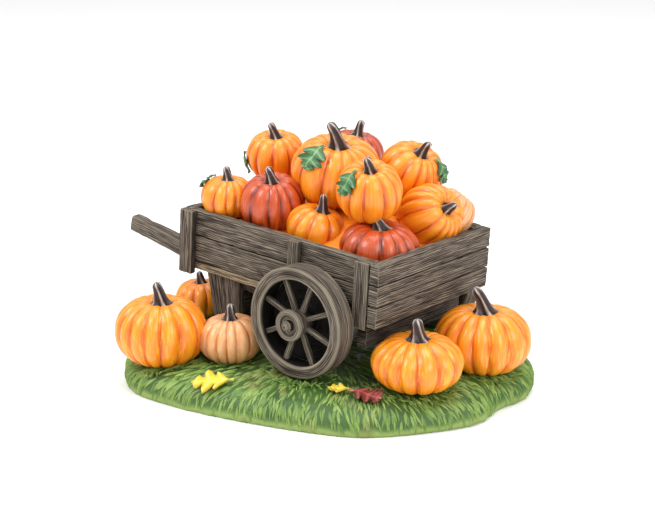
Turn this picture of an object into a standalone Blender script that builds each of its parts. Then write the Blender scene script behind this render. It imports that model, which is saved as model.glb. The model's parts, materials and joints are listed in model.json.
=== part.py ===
"""Tabletop figurine of a two-wheeled wooden hand cart heaped with pumpkins, standing on a grass mound.

Metres, +Z up. The origin is on the table, under the middle of the cart's box. +X points along the
cart to its tail, -X to the handles, and -Y is the near side, which faces the viewer.
The cart's own frame has its origin on the axle and is pitched, so that the handles stand high.
"""

import math

import bmesh
import bpy
from mathutils import Matrix, Vector

# Gaps between pieces
GLUE_GAP = 0.00012
BOARD_JOINT = 0.0003
RUNNING_GAP = 0.0003

# Grass mound
BASE_BEYOND_LENGTH = 0.0414
BASE_BEYOND_WIDTH = 0.0426
BASE_HEIGHT = 0.0078
BASE_TURN = math.radians(38.9)
BASE_CENTRE = (0.0031, -0.0066)
BASE_BANK = [(0.0007, 0.0), (0.0, 0.18), (0.0003, 0.40), (0.0015, 0.63), (0.0042, 0.84),
             (0.0085, 0.96), (0.0150, 1.0)]
BASE_STEPS = 52

# Wheels and axle
WHEEL_RADIUS = 0.014
WHEEL_WIDTH = 0.006
FELLOE_DEPTH = 0.0031
SPOKE_COUNT = 8
SPOKE_WIDTH = 0.0013
SPOKE_INSET = 0.0016
WEB_THICKNESS = 0.0009
NAVE_RADIUS = 0.0034
NAVE_PROUD = 0.0007
HUB_CAP_RADIUS = 0.0039
HUB_CAP_THICKNESS = 0.0014
HUB_CAP_DISH = 0.0005
JOURNAL_RADIUS = 0.0010
JOURNAL_CLEARANCE = 0.00018
AXLE_RADIUS = 0.0016
AXLE_X = 0.0112
AXLE_CAP_RADIUS = 0.0014
AXLE_CAP_LENGTH = 0.0011
AXLE_CAP_SOCKET = 0.0006
TURNED_STEPS = 40

# Cart box, in the cart's frame
CART_PITCH = math.radians(3.84)
CART_LENGTH = 0.0642
CART_WIDTH = 0.0436
SIDE_HEIGHT = 0.0159
RIM_ABOVE_AXLE = 0.0180
AXLE_BEHIND_CENTRE = 0.0124
SIDE_THICKNESS = 0.0020
FRONT_THICKNESS = 0.0024
TAIL_THICKNESS = 0.0028
TAIL_OVERLAP = 0.0018
BOTTOM_RAIL_HEIGHT = 0.0019
POST_WIDTH = 0.0044
POST_DEPTH = 0.0020
POST_DROP = 0.0011
BATTEN_WIDTH = 0.0032
BATTEN_DEPTH = 0.0015
BATTEN_FROM_CENTRE = 0.0053
FLOOR_DROP = 0.0102
FLOOR_THICKNESS = 0.0020
FLOOR_BOARDS = 3
BED_DROP = 0.0048
BED_MOUND = [(0.0065, 0.0036), (0.0125, 0.0072)]
BOARD_BEVEL = 0.0003

# Underframe
BOLSTER_LENGTH = 0.0050
BOLSTER_BELOW_AXLE = 0.0029
TAIL_BEAM_THICKNESS = 0.0030
TAIL_BEAM_SETBACK = 0.0026
TAIL_BEAM_DEPTH = 0.0112
LEG_THICKNESS = 0.0020
LEG_HEAD_WIDTH = 0.0118
LEG_FOOT_WIDTH = 0.0070
LEG_FROM_FRONT = 0.0026
LEG_BRACE_THICKNESS = 0.0018
SHAFT_WIDTH = 0.0044
SHAFT_HEIGHT = 0.0043
SHAFT_TIP_WIDTH = 0.0031
SHAFT_OVERHANG = 0.0248
SHAFT_RISE = math.radians(8.2)
SHAFT_DROP_AT_FRONT = 0.0146

# Pumpkins
PUMPKIN_LOBES = 10
LOBE_DEPTH = 0.07
STEM_RADIUS = 0.12
SOLE_DEPTH = 0.92

# Inside of the box that the heap's sizes are given for. In another box the heap stretches with it.
HEAP_HALF_LENGTH = 0.0295
HEAP_HALF_WIDTH = 0.0198

# Heaped pumpkins: name, share of the box's inner half-length and half-width from its middle,
# height of the centre above the rim, radius, half-height, stem height, lean of the axis and its
# heading (0 is towards the tail, 90 towards the far side), and the colour.
HEAP = [
    ("pumpkin_red_front", 0.680, -0.380, -0.0015, 0.0098, 0.0062, 0.0034, 3, 310, "red"),
    ("pumpkin_small_front", 0.086, -0.530, -0.0003, 0.0076, 0.0058, 0.0044, 14, 30, "orange"),
    ("pumpkin_red_left", -0.372, -0.620, 0.0038, 0.0082, 0.0075, 0.0040, 12, 300, "red"),
    ("pumpkin_tipped", 0.757, 0.515, 0.0033, 0.0084, 0.0080, 0.0030, 58, 354, "orange"),
    ("pumpkin_small_left", -0.808, -0.740, 0.0029, 0.0070, 0.0056, 0.0032, 0, 0, "orange"),
    ("pumpkin_mid_front", 0.533, -0.354, 0.0116, 0.0081, 0.0077, 0.0038, 18, 300, "orange"),
    ("pumpkin_large_top", -0.057, 0.068, 0.0115, 0.0115, 0.0091, 0.0062, 12, 320, "orange"),
    ("pumpkin_mid_right", 0.330, 0.930, 0.0109, 0.0086, 0.0073, 0.0040, 28, 0, "orange"),
    ("pumpkin_peach_right", 0.803, 0.875, 0.0033, 0.0064, 0.0060, 0.0000, 35, 50, "peach"),
    ("pumpkin_top_left", -0.819, 0.219, 0.0106, 0.0077, 0.0066, 0.0036, 10, 290, "orange"),
    ("pumpkin_red_back", -0.309, 0.932, 0.0113, 0.0079, 0.0068, 0.0036, 8, 40, "red"),
    ("pumpkin_back_left", -0.700, 0.640, 0.0020, 0.0078, 0.0066, 0.0030, 14, 130, "orange"),
    ("pumpkin_back_middle", -0.080, 0.700, 0.0008, 0.0074, 0.0062, 0.0000, 10, 100, "orange"),
    ("pumpkin_back_right", 0.360, 0.740, -0.0002, 0.0064, 0.0058, 0.0000, 0, 0, "peach"),
    ("pumpkin_under_left", -0.680, -0.060, 0.0002, 0.0076, 0.0060, 0.0000, 10, 180, "orange"),
]

# Pumpkins on the grass: name, what the place is measured from, offset from there along X and Y,
# how deep the sole lies under the mound's top, radius, half-height, stem height, and the colour.
GROUND = [
    ("pumpkin_ground_peach", "wheel", (-0.0088, 0.0024), 0.0004, 0.0082, 0.0062, 0.0036, "peach"),
    ("pumpkin_ground_left", "wheel", (-0.0232, -0.0074), 0.0014, 0.0117, 0.0090, 0.0060, "orange"),
    ("pumpkin_ground_front", "tail", (0.0062, -0.0147), 0.0003, 0.0115, 0.0069, 0.0060, "orange"),
    ("pumpkin_ground_right", "tail", (0.0098, 0.0082), 0.0012, 0.0121, 0.0086, 0.0070, "orange"),
    ("pumpkin_ground_back", "front", (-0.0104, -0.0044), 0.0008, 0.0069, 0.0054, 0.0032, "orange"),
]

COLOURS = {
    "wood": (0.20, 0.17, 0.14, 1),
    "grass": (0.16, 0.30, 0.06, 1),
    "orange": (0.85, 0.33, 0.03, 1),
    "red": (0.62, 0.13, 0.03, 1),
    "peach": (0.78, 0.48, 0.26, 1),
    "filler": (0.55, 0.16, 0.02, 1),
}
ROUGHNESS = {"wood": 0.7, "grass": 0.6, "orange": 0.3, "red": 0.3, "peach": 0.35, "filler": 0.5}

# Worked out from the dimensions above
AXLE_HEIGHT = BASE_HEIGHT + RUNNING_GAP + WHEEL_RADIUS
BOX_CENTRE = -AXLE_BEHIND_CENTRE
FRONT_FACE = BOX_CENTRE - CART_LENGTH / 2
TAIL_FACE = BOX_CENTRE + CART_LENGTH / 2
INNER_FRONT = FRONT_FACE + FRONT_THICKNESS
INNER_TAIL = TAIL_FACE - TAIL_THICKNESS
INNER_HALF_LENGTH = (INNER_TAIL - INNER_FRONT) / 2
INNER_MIDDLE = (INNER_TAIL + INNER_FRONT) / 2
OUTER_HALF = CART_WIDTH / 2
INNER_HALF = OUTER_HALF - SIDE_THICKNESS
POST_FACE = OUTER_HALF + GLUE_GAP + POST_DEPTH
WHEEL_INNER = POST_FACE + RUNNING_GAP
WHEEL_OUTER = WHEEL_INNER + WHEEL_WIDTH
NAVE_OUTER = WHEEL_OUTER + NAVE_PROUD
HUB_CAP_OUTER = NAVE_OUTER + GLUE_GAP + HUB_CAP_THICKNESS
RIM = RIM_ABOVE_AXLE
SIDE_BOTTOM = RIM - SIDE_HEIGHT
FLOOR_TOP = RIM - FLOOR_DROP
FLOOR_BOTTOM = FLOOR_TOP - FLOOR_THICKNESS
BED_TOP = RIM - BED_DROP
BED_SOLE = FLOOR_TOP + GLUE_GAP
BORE_RADIUS = JOURNAL_RADIUS + JOURNAL_CLEARANCE

CART_TO_WORLD = Matrix.Translation((AXLE_X, 0, AXLE_HEIGHT)) @ Matrix.Rotation(CART_PITCH, 4, "Y")


def material(name, colour):
    """A painted-resin material of one of the named colours."""
    made = bpy.data.materials.new(name)
    made.use_nodes = True
    shader = made.node_tree.nodes["Principled BSDF"]
    shader.inputs["Base Color"].default_value = COLOURS[colour]
    shader.inputs["Roughness"].default_value = ROUGHNESS[colour]
    shader.inputs["Metallic"].default_value = 0
    return made


def add_object(name, bm, colour, parent=None):
    """Turns a bmesh into an object with its own material."""
    bmesh.ops.recalc_face_normals(bm, faces=bm.faces)
    mesh = bpy.data.meshes.new(name)
    bm.to_mesh(mesh)
    bm.free()
    obj = bpy.data.objects.new(name, mesh)
    bpy.context.scene.collection.objects.link(obj)
    obj.parent = parent
    if colour:
        mesh.materials.append(material(name, colour))
    return obj


def add_cutter(name, bm, parent=None):
    """A helper solid that only cuts."""
    obj = add_object(name, bm, None, parent)
    obj.hide_render = True
    obj.display_type = "WIRE"
    return obj


def add_frame(name, matrix):
    """An empty that holds a frame of reference."""
    frame = bpy.data.objects.new(name, None)
    frame.matrix_world = matrix
    bpy.context.scene.collection.objects.link(frame)
    return frame


def cut(obj, cutter):
    """Takes the cutter's shape out of the object."""
    boolean = obj.modifiers.new("cut_" + cutter.name, "BOOLEAN")
    boolean.operation = "DIFFERENCE"
    boolean.solver = "EXACT"
    boolean.object = cutter


def join(obj, other):
    """Adds the other object's shape to the object, and makes the other a helper."""
    boolean = obj.modifiers.new("join_" + other.name, "BOOLEAN")
    boolean.operation = "UNION"
    boolean.solver = "EXACT"
    boolean.object = other
    other.hide_render = True
    other.display_type = "WIRE"


def bevel(obj, width, segments=1):
    """Breaks the object's sharp edges."""
    modifier = obj.modifiers.new("bevel", "BEVEL")
    modifier.width = width
    modifier.segments = segments
    modifier.limit_method = "ANGLE"
    modifier.angle_limit = math.radians(40)


def box_mesh(low, high):
    """A box between two corners."""
    bm = bmesh.new()
    bmesh.ops.create_cube(bm, size=1)
    low, high = Vector(low), Vector(high)
    size = high - low
    middle = (high + low) / 2
    for vertex in bm.verts:
        vertex.co = Vector(vertex.co[i] * size[i] + middle[i] for i in range(3))
    return bm


def board(name, low, high, parent, edge=BOARD_BEVEL):
    """A sawn board between two corners of its parent's frame."""
    obj = add_object(name, box_mesh(low, high), "wood", parent)
    bevel(obj, edge)
    return obj


def prism(name, outline, near, far, colour, parent=None):
    """An outline in X and Z, extruded along Y from near to far."""
    bm = bmesh.new()
    face = bm.faces.new([bm.verts.new((x, near, z)) for x, z in outline])
    grown = bmesh.ops.extrude_face_region(bm, geom=[face])["geom"]
    moved = [g for g in grown if isinstance(g, bmesh.types.BMVert)]
    bmesh.ops.translate(bm, verts=moved, vec=(0, far - near, 0))
    return add_object(name, bm, colour, parent)


def turned_mesh(profile, steps=TURNED_STEPS):
    """Turns a closed outline of (y, radius) points about the Y axis. Points on the axis make poles."""
    bm = bmesh.new()
    rings = []
    for y, radius in profile:
        if radius == 0:
            rings.append([bm.verts.new((0, y, 0))])
            continue
        angles = [2 * math.pi * i / steps for i in range(steps)]
        rings.append([bm.verts.new((radius * math.cos(a), y, radius * math.sin(a))) for a in angles])
    closed = profile[0][1] > 0
    pairs = list(zip(rings, rings[1:] + rings[:1])) if closed else list(zip(rings, rings[1:]))
    skin_rings(bm, pairs)
    return bm


def skin_rings(bm, pairs):
    """Faces between neighbouring rings of points. A ring of one point is a pole."""
    for first, second in pairs:
        steps = max(len(first), len(second))
        for i in range(steps):
            j = (i + 1) % steps
            corners = [first[i % len(first)], first[j % len(first)]]
            corners += [second[j % len(second)], second[i % len(second)]]
            bm.faces.new(list(dict.fromkeys(corners)))


def closed_curve(points, steps):
    """Evenly numbered points on a smooth closed curve through the given points."""
    count = len(points)
    found = []
    for n in range(steps):
        place = n * count / steps
        i, t = int(place), place % 1
        p = [Vector(points[(i + k) % count]) for k in (-1, 0, 1, 2)]
        found.append(0.5 * (2 * p[1] + (p[2] - p[0]) * t
                            + (2 * p[0] - 5 * p[1] + 4 * p[2] - p[3]) * t ** 2
                            + (3 * p[1] - p[0] - 3 * p[2] + p[3]) * t ** 3))
    return found


def base_mesh(raised=0.0):
    """The grass mound: an uneven oval with a rounded bank, flat on top and below."""
    outline = [(-1.00, 0.04), (-0.94, -0.28), (-0.69, -0.55), (-0.38, -0.77), (-0.06, -0.94),
               (0.16, -1.00), (0.42, -0.94), (0.68, -0.80), (0.80, -0.56), (0.94, -0.38),
               (1.00, -0.02), (0.92, 0.44), (0.66, 0.80), (0.26, 0.98), (-0.18, 1.00),
               (-0.60, 0.92), (-0.88, 0.68), (-0.99, 0.36)]
    turn = Matrix.Rotation(BASE_TURN, 2)
    half = Vector((CART_LENGTH + BASE_BEYOND_LENGTH, CART_WIDTH + BASE_BEYOND_WIDTH)) / 2
    bm = bmesh.new()
    rings = []
    for inset, rise in BASE_BANK:
        ring = []
        for x, y in closed_curve(outline, BASE_STEPS):
            at = turn @ Vector((x * (half.x - inset + raised), y * (half.y - inset + raised)))
            at += Vector(BASE_CENTRE)
            ring.append(bm.verts.new((at.x, at.y, rise * BASE_HEIGHT + raised)))
        rings.append(ring)
    skin_rings(bm, list(zip(rings, rings[1:])))
    bm.faces.new(rings[0])
    bm.faces.new(rings[-1])
    return bm


def make_side(cart, name, side):
    """One long side: two planks over a bottom rail, two corner posts and a middle batten."""
    faces = sorted((side * INNER_HALF, side * OUTER_HALF))
    start = INNER_FRONT + GLUE_GAP
    end = INNER_TAIL - GLUE_GAP
    rail_top = SIDE_BOTTOM + BOTTOM_RAIL_HEIGHT
    plank_height = (RIM - rail_top - 2 * BOARD_JOINT) / 2
    spans = [("upper_plank", RIM - plank_height, RIM),
             ("lower_plank", rail_top + BOARD_JOINT, rail_top + BOARD_JOINT + plank_height),
             ("bottom_rail", SIDE_BOTTOM, rail_top)]
    for part, low, high in spans:
        board(f"{name}_{part}", (start, faces[0], low), (end, faces[1], high), cart)
    outside = side * (OUTER_HALF + GLUE_GAP)
    post_ends = sorted((outside, side * POST_FACE))
    post_foot = SIDE_BOTTOM - POST_DROP
    starts = {"front_post": FRONT_FACE, "tail_post": INNER_TAIL - GLUE_GAP - POST_WIDTH}
    for part, x in starts.items():
        low = (x, post_ends[0], post_foot)
        board(f"{name}_{part}", low, (x + POST_WIDTH, post_ends[1], RIM), cart, 2 * BOARD_BEVEL)
    batten_ends = sorted((outside, outside + side * BATTEN_DEPTH))
    batten_x = BOX_CENTRE + BATTEN_FROM_CENTRE - BATTEN_WIDTH / 2
    board(f"{name}_middle_batten", (batten_x, batten_ends[0], SIDE_BOTTOM),
          (batten_x + BATTEN_WIDTH, batten_ends[1], RIM), cart)


def stacked(count, bottom, top):
    """Heights of boards one above another, with an open joint between each pair."""
    height = (top - bottom - (count - 1) * BOARD_JOINT) / count
    return [(bottom + i * (height + BOARD_JOINT), bottom + i * (height + BOARD_JOINT) + height)
            for i in range(count)]


def make_ends(cart, shaft_cutters):
    """The front planks between the corner posts, and the tail planks over the sides' ends."""
    words = ("lower", "middle", "upper")
    front_half = OUTER_HALF - GLUE_GAP
    tail_half = OUTER_HALF + TAIL_OVERLAP
    for word, (low, high) in zip(words, stacked(3, SIDE_BOTTOM, RIM)):
        front = board(f"front_{word}_plank", (FRONT_FACE, -front_half, low),
                      (INNER_FRONT, front_half, high), cart)
        if word == "lower":
            for cutter in shaft_cutters:
                cut(front, cutter)
        board(f"tail_{word}_plank", (INNER_TAIL, -tail_half, low), (TAIL_FACE, tail_half, high),
              cart, 1.6 * BOARD_BEVEL)


def stepped_mesh(levels):
    """A closed shape of rectangles, each at its own height and grown from the inside of the box."""
    half = INNER_HALF - GLUE_GAP
    start, end = INNER_FRONT + GLUE_GAP, INNER_TAIL - GLUE_GAP
    bm = bmesh.new()
    rings = []
    for grow, z in levels:
        corners = [(start - grow, -half - grow), (end + grow, -half - grow),
                   (end + grow, half + grow), (start - grow, half + grow)]
        rings.append([bm.verts.new((x, y, z)) for x, y in corners])
    skin_rings(bm, list(zip(rings, rings[1:])))
    bm.faces.new(rings[0])
    bm.faces.new(rings[-1])
    return bm


def make_floor(cart):
    """Floor boards along the cart, and the mounded bed that carries the heap."""
    half = INNER_HALF - GLUE_GAP
    start = INNER_FRONT + GLUE_GAP
    end = INNER_TAIL - GLUE_GAP
    width = (2 * half - (FLOOR_BOARDS - 1) * BOARD_JOINT) / FLOOR_BOARDS
    for i in range(FLOOR_BOARDS):
        y = -half + i * (width + BOARD_JOINT)
        board(f"floor_board_{i + 1}", (start, y, FLOOR_BOTTOM), (end, y + width, FLOOR_TOP), cart)
    levels = [(0, BED_SOLE), (0, BED_TOP)] + [(-inset, BED_TOP + rise) for inset, rise in BED_MOUND]
    add_object("load_bed", stepped_mesh(levels), "filler", cart)


def shaft_mesh(grow):
    """A shaft along X from its tip to its rear end, in its own frame on the front face of the box."""
    rear = CART_LENGTH / 2 + AXLE_BEHIND_CENTRE - BOLSTER_LENGTH / 2 - GLUE_GAP
    bm = box_mesh((-SHAFT_OVERHANG, -SHAFT_WIDTH / 2 - grow, -SHAFT_HEIGHT / 2 - grow),
                  (rear, SHAFT_WIDTH / 2 + grow, SHAFT_HEIGHT / 2 + grow))
    for vertex in bm.verts:
        if vertex.co.x < 0:
            vertex.co.y *= SHAFT_TIP_WIDTH / SHAFT_WIDTH
    return bm


def make_shafts(cart, bolster_cutter):
    """The two handle shafts, which rise from the bolster and pass under the front of the box."""
    cutters = []
    for name, side in (("near", -1), ("far", 1)):
        across = INNER_HALF - GLUE_GAP - LEG_THICKNESS - GLUE_GAP - SHAFT_WIDTH / 2
        place = Matrix.Translation((FRONT_FACE, side * across, RIM - SHAFT_DROP_AT_FRONT))
        frame = add_frame(f"{name}_shaft_frame", place @ Matrix.Rotation(SHAFT_RISE, 4, "Y"))
        frame.parent = cart
        shaft = add_object(f"{name}_shaft", shaft_mesh(0), "wood", frame)
        bevel(shaft, 2 * BOARD_BEVEL)
        cut(shaft, bolster_cutter)
        cutters.append(add_cutter(f"{name}_shaft_notch", shaft_mesh(GLUE_GAP), frame))
    return cutters


def cylinder_cutter(name, radius, half_length, parent):
    """A round cutter along Y through its parent's origin."""
    ends = [(-half_length, 0), (-half_length, radius), (half_length, radius), (half_length, 0)]
    return add_cutter(name, turned_mesh(ends), parent)


def bolster_span():
    """The lowest and highest corners of the bolster."""
    half = INNER_HALF - GLUE_GAP
    return ((-BOLSTER_LENGTH / 2, -half, -AXLE_RADIUS - BOLSTER_BELOW_AXLE + JOURNAL_RADIUS),
            (BOLSTER_LENGTH / 2, half, FLOOR_BOTTOM - GLUE_GAP))


def tail_beam_span():
    """The lowest and highest corners of the beam under the tail."""
    half = INNER_HALF - GLUE_GAP
    end = INNER_TAIL - TAIL_BEAM_SETBACK
    return ((end - TAIL_BEAM_THICKNESS, -half, FLOOR_BOTTOM - TAIL_BEAM_DEPTH),
            (end, half, FLOOR_BOTTOM - GLUE_GAP))


def make_underframe(cart):
    """The bolster that carries the axle, and the beam under the tail."""
    low, high = bolster_span()
    bolster = board("axle_bolster", low, high, cart)
    cut(bolster, cylinder_cutter("axle_bore", AXLE_RADIUS + JOURNAL_CLEARANCE, CART_WIDTH, cart))
    board("tail_beam", *tail_beam_span(), cart)


def guard(name, span, cart, beyond=0.0):
    """A cutter a little larger than a beam, which trims what meets the beam or lies beyond it."""
    low, high = span
    grow = Vector((GLUE_GAP, GLUE_GAP, GLUE_GAP))
    top = Vector(high) + grow + Vector((beyond, 0, 0))
    return add_cutter(name, box_mesh(Vector(low) - grow, top), cart)


def shaft_underside(x):
    """How high the underside of the shafts is above the table at a place along X."""
    angle = CART_PITCH + SHAFT_RISE
    front = CART_TO_WORLD @ Vector((FRONT_FACE, 0, RIM - SHAFT_DROP_AT_FRONT))
    drop = (x - front.x) * math.tan(angle)
    return front.z - drop - SHAFT_HEIGHT / 2 / math.cos(angle)


def make_legs():
    """Two tapered boards, upright in the world, from under the floor to the grass, and their brace."""
    foot = BASE_HEIGHT + GLUE_GAP
    start = INNER_FRONT + LEG_FROM_FRONT
    left = CART_TO_WORLD @ Vector((start, 0, FLOOR_BOTTOM))
    right = CART_TO_WORLD @ Vector((start + LEG_HEAD_WIDTH, 0, FLOOR_BOTTOM))
    outline = [(right.x - LEG_FOOT_WIDTH, foot), (right.x, foot),
               (right.x, right.z - GLUE_GAP), (left.x, left.z - GLUE_GAP)]
    for name, side in (("near", -1), ("far", 1)):
        faces = sorted((side * (INNER_HALF - GLUE_GAP), side * (INNER_HALF - GLUE_GAP - LEG_THICKNESS)))
        leg = prism(f"{name}_leg", outline, faces[0], faces[1], "wood")
        bevel(leg, BOARD_BEVEL)
    across = INNER_HALF - 2 * GLUE_GAP - LEG_THICKNESS
    board("leg_brace", (right.x - LEG_BRACE_THICKNESS, -across, foot),
          (right.x, across, shaft_underside(right.x) - GLUE_GAP), None)


def make_axle(cart):
    """The fixed axle: thick through the bolster, with a thinner journal for each wheel."""
    shoulder = WHEEL_INNER - RUNNING_GAP / 2
    end = HUB_CAP_OUTER + RUNNING_GAP + AXLE_CAP_SOCKET
    half = [(end, 0), (end, JOURNAL_RADIUS), (shoulder, JOURNAL_RADIUS), (shoulder, AXLE_RADIUS)]
    profile = [(-y, r) for y, r in half] + half[::-1]
    add_object("axle", turned_mesh(profile, 24), "wood", cart)
    for name, side in (("near", -1), ("far", 1)):
        inner = HUB_CAP_OUTER + RUNNING_GAP
        floor = end + GLUE_GAP
        outer = inner + AXLE_CAP_LENGTH
        socket = JOURNAL_RADIUS + GLUE_GAP
        cap = [(floor, 0), (floor, socket), (inner, socket), (inner, AXLE_CAP_RADIUS),
               (outer - 0.0004, AXLE_CAP_RADIUS), (outer, AXLE_CAP_RADIUS - 0.0005), (outer, 0)]
        add_object(f"{name}_axle_cap", turned_mesh([(side * y, r) for y, r in cap], 24), "wood", cart)


def wheel_frame(name):
    """An empty on the axle, which the wheel's pieces turn with."""
    return add_frame(name + "_frame", Matrix.Translation((AXLE_X, 0, AXLE_HEIGHT)))


def make_wheel(name, side):
    """A felloe ring, a nave with its spokes and the web behind them, and a dished cap."""
    frame = wheel_frame(name)
    inner, outer = side * WHEEL_INNER, side * WHEEL_OUTER
    hole = WHEEL_RADIUS - FELLOE_DEPTH
    edge = side * 0.0004
    ring = [(inner, hole + 0.0003), (inner, WHEEL_RADIUS - 0.0005), (inner + edge, WHEEL_RADIUS),
            (outer - edge, WHEEL_RADIUS), (outer, WHEEL_RADIUS - 0.0005), (outer, hole + 0.0003),
            (outer - edge, hole), (inner + edge, hole)]
    add_object(f"{name}_felloe_ring", turned_mesh(ring), "wood", frame)

    nave_end = side * NAVE_OUTER
    web_end = inner + side * WEB_THICKNESS
    nave = [(inner, BORE_RADIUS), (inner, hole - GLUE_GAP), (web_end, hole - GLUE_GAP),
            (web_end, NAVE_RADIUS), (nave_end, NAVE_RADIUS), (nave_end, BORE_RADIUS)]
    nave_obj = add_object(f"{name}_nave_and_spokes", turned_mesh(nave), "wood", frame)
    spoke_middle = side * (WHEEL_OUTER - SPOKE_INSET - SPOKE_WIDTH / 2)
    for i in range(SPOKE_COUNT):
        angle = 2 * math.pi * (i + 0.5) / SPOKE_COUNT
        low = (BORE_RADIUS + 0.0006, spoke_middle - SPOKE_WIDTH / 2, -SPOKE_WIDTH / 2)
        high = (hole - GLUE_GAP - 0.0001, spoke_middle + SPOKE_WIDTH / 2, SPOKE_WIDTH / 2)
        bm = box_mesh(low, high)
        bmesh.ops.rotate(bm, verts=bm.verts, matrix=Matrix.Rotation(-angle, 3, "Y"))
        join(nave_obj, add_object(f"{name}_spoke_{i + 1}", bm, None, frame))

    cap_in, cap_out = side * (NAVE_OUTER + GLUE_GAP), side * HUB_CAP_OUTER
    dish = cap_out - side * HUB_CAP_DISH
    cap = [(cap_in, BORE_RADIUS), (cap_in, HUB_CAP_RADIUS), (cap_out - edge, HUB_CAP_RADIUS),
           (cap_out, HUB_CAP_RADIUS - 0.0004), (cap_out, HUB_CAP_RADIUS - 0.0010),
           (dish, HUB_CAP_RADIUS - 0.0015), (dish, BORE_RADIUS)]
    add_object(f"{name}_hub_cap", turned_mesh(cap, 32), "wood", frame)


def pumpkin_mesh(radius, half_height, stem, grow=0.0):
    """A lobed pumpkin about the Z axis with a dimple and a stem. Its middle is at the origin."""
    steps = 2 * PUMPKIN_LOBES
    latitudes = [-58, -28, 0, 26, 50, 70]
    bm = bmesh.new()
    tall = half_height + grow
    wide = radius + grow
    rings = [[bm.verts.new((0, 0, -SOLE_DEPTH * tall))]]
    for latitude in latitudes:
        up = math.radians(latitude)
        ring = []
        for i in range(steps):
            angle = 2 * math.pi * i / steps
            reach = wide * math.cos(up) ** 0.8 * (1 - LOBE_DEPTH * (i % 2))
            ring.append(bm.verts.new((reach * math.cos(angle), reach * math.sin(angle),
                                      tall * math.sin(up))))
        rings.append(ring)
    if stem:
        stem_radius = STEM_RADIUS * radius + grow
        for share, width in ((-0.25, 1.5), (0.3, 1.0), (1.0, 0.9)):
            z = 0.90 * half_height + share * stem + (grow if share > 0.5 else 0)
            spread = [(stem_radius * width * math.cos(2 * math.pi * i / steps),
                       stem_radius * width * math.sin(2 * math.pi * i / steps)) for i in range(steps)]
            rings.append([bm.verts.new((x, y, z)) for x, y in spread])
        rings.append([bm.verts.new((0, 0, 0.90 * half_height + stem + grow))])
    else:
        rings.append([bm.verts.new((0, 0, 0.86 * tall))])
    skin_rings(bm, list(zip(rings, rings[1:])))
    return bm


def load_mould(cart):
    """A cutter shaped like a tub: everything beside and below the room that the load can fill."""
    far = CART_LENGTH
    levels = [(far, -far), (far, RIM + GLUE_GAP), (0, RIM + GLUE_GAP), (0, BED_TOP + GLUE_GAP)]
    levels += [(-inset, BED_TOP + rise + GLUE_GAP) for inset, rise in BED_MOUND]
    return add_cutter("load_mould", stepped_mesh(levels), cart)


def place_pumpkin(name, matrix, sizes, colour, parent, done, cutters):
    """Adds a pumpkin and takes out of it what its neighbours and the cart already hold."""
    radius, half_height, stem = sizes
    reach = radius * max(matrix.to_scale()) + GLUE_GAP
    pumpkin = add_object(name, pumpkin_mesh(radius, half_height, stem), colour, parent)
    pumpkin.data.shade_smooth()
    pumpkin.matrix_local = matrix
    world = (parent.matrix_world if parent else Matrix.Identity(4)) @ matrix
    for other_world, other_reach, guard in done:
        if (other_world.translation - world.translation).length < reach + other_reach:
            cut(pumpkin, guard)
    for cutter in cutters:
        cut(pumpkin, cutter)
    guard = add_cutter(name + "_guard", pumpkin_mesh(radius, half_height, stem, GLUE_GAP), parent)
    guard.matrix_local = matrix
    done.append((world, reach, guard))


def make_heap(cart):
    """The pumpkins in the cart, those in front first, so that the ones behind give way."""
    mould = load_mould(cart)
    stretch = Matrix.Diagonal((INNER_HALF_LENGTH / HEAP_HALF_LENGTH, INNER_HALF / HEAP_HALF_WIDTH, 1, 1))
    done = []
    for name, along, across, above, radius, half_height, stem, lean, heading, colour in HEAP:
        at = Vector((INNER_MIDDLE + along * INNER_HALF_LENGTH, across * INNER_HALF, RIM + above))
        swing = Matrix.Rotation(math.radians(heading), 4, "Z")
        tip = swing @ Matrix.Rotation(math.radians(lean), 4, "Y") @ swing.inverted()
        place_pumpkin(name, Matrix.Translation(at) @ stretch @ tip, (radius, half_height, stem), colour,
                      cart, done, [mould])


def make_ground_pumpkins(cart):
    """The pumpkins that stand on the grass round the cart."""
    cutters = [add_cutter("mound_guard", base_mesh(GLUE_GAP)),
               guard("tail_beam_guard", tail_beam_span(), cart),
               cylinder_cutter("wheel_sweep", WHEEL_RADIUS + RUNNING_GAP, WHEEL_OUTER + RUNNING_GAP,
                               wheel_frame("wheel_sweep"))]
    front = CART_TO_WORLD @ Vector((FRONT_FACE, 0, SIDE_BOTTOM))
    tail = CART_TO_WORLD @ Vector((TAIL_FACE, 0, SIDE_BOTTOM))
    starts = {"wheel": (AXLE_X - WHEEL_RADIUS, -WHEEL_OUTER), "tail": (tail.x, 0), "front": (front.x, 0)}
    done = []
    for name, start, offset, settled, radius, half_height, stem, colour in GROUND:
        x, y = (a + b for a, b in zip(starts[start], offset))
        z = BASE_HEIGHT - settled + SOLE_DEPTH * half_height
        place_pumpkin(name, Matrix.Translation((x, y, z)), (radius, half_height, stem), colour, None,
                      done, cutters)


def main():
    for obj in list(bpy.data.objects):
        bpy.data.objects.remove(obj)
    add_object("grass_base", base_mesh(), "grass")
    cart = add_frame("cart_frame", CART_TO_WORLD)
    bpy.context.view_layer.update()
    for name, side in (("near", -1), ("far", 1)):
        make_side(cart, name, side)
        make_wheel(f"{name}_wheel", side)
    make_underframe(cart)
    shaft_cutters = make_shafts(cart, guard("bolster_guard", bolster_span(), cart, CART_LENGTH))
    make_ends(cart, shaft_cutters)
    make_floor(cart)
    make_legs()
    make_axle(cart)
    make_heap(cart)
    make_ground_pumpkins(cart)


main()
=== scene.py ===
"""Looks of the pumpkin cart figurine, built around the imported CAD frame. Metres, +Z up."""

import json
import math
import random

import bpy
import numpy as np
from mathutils import Matrix, Vector
from mathutils.bvhtree import BVHTree


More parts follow.
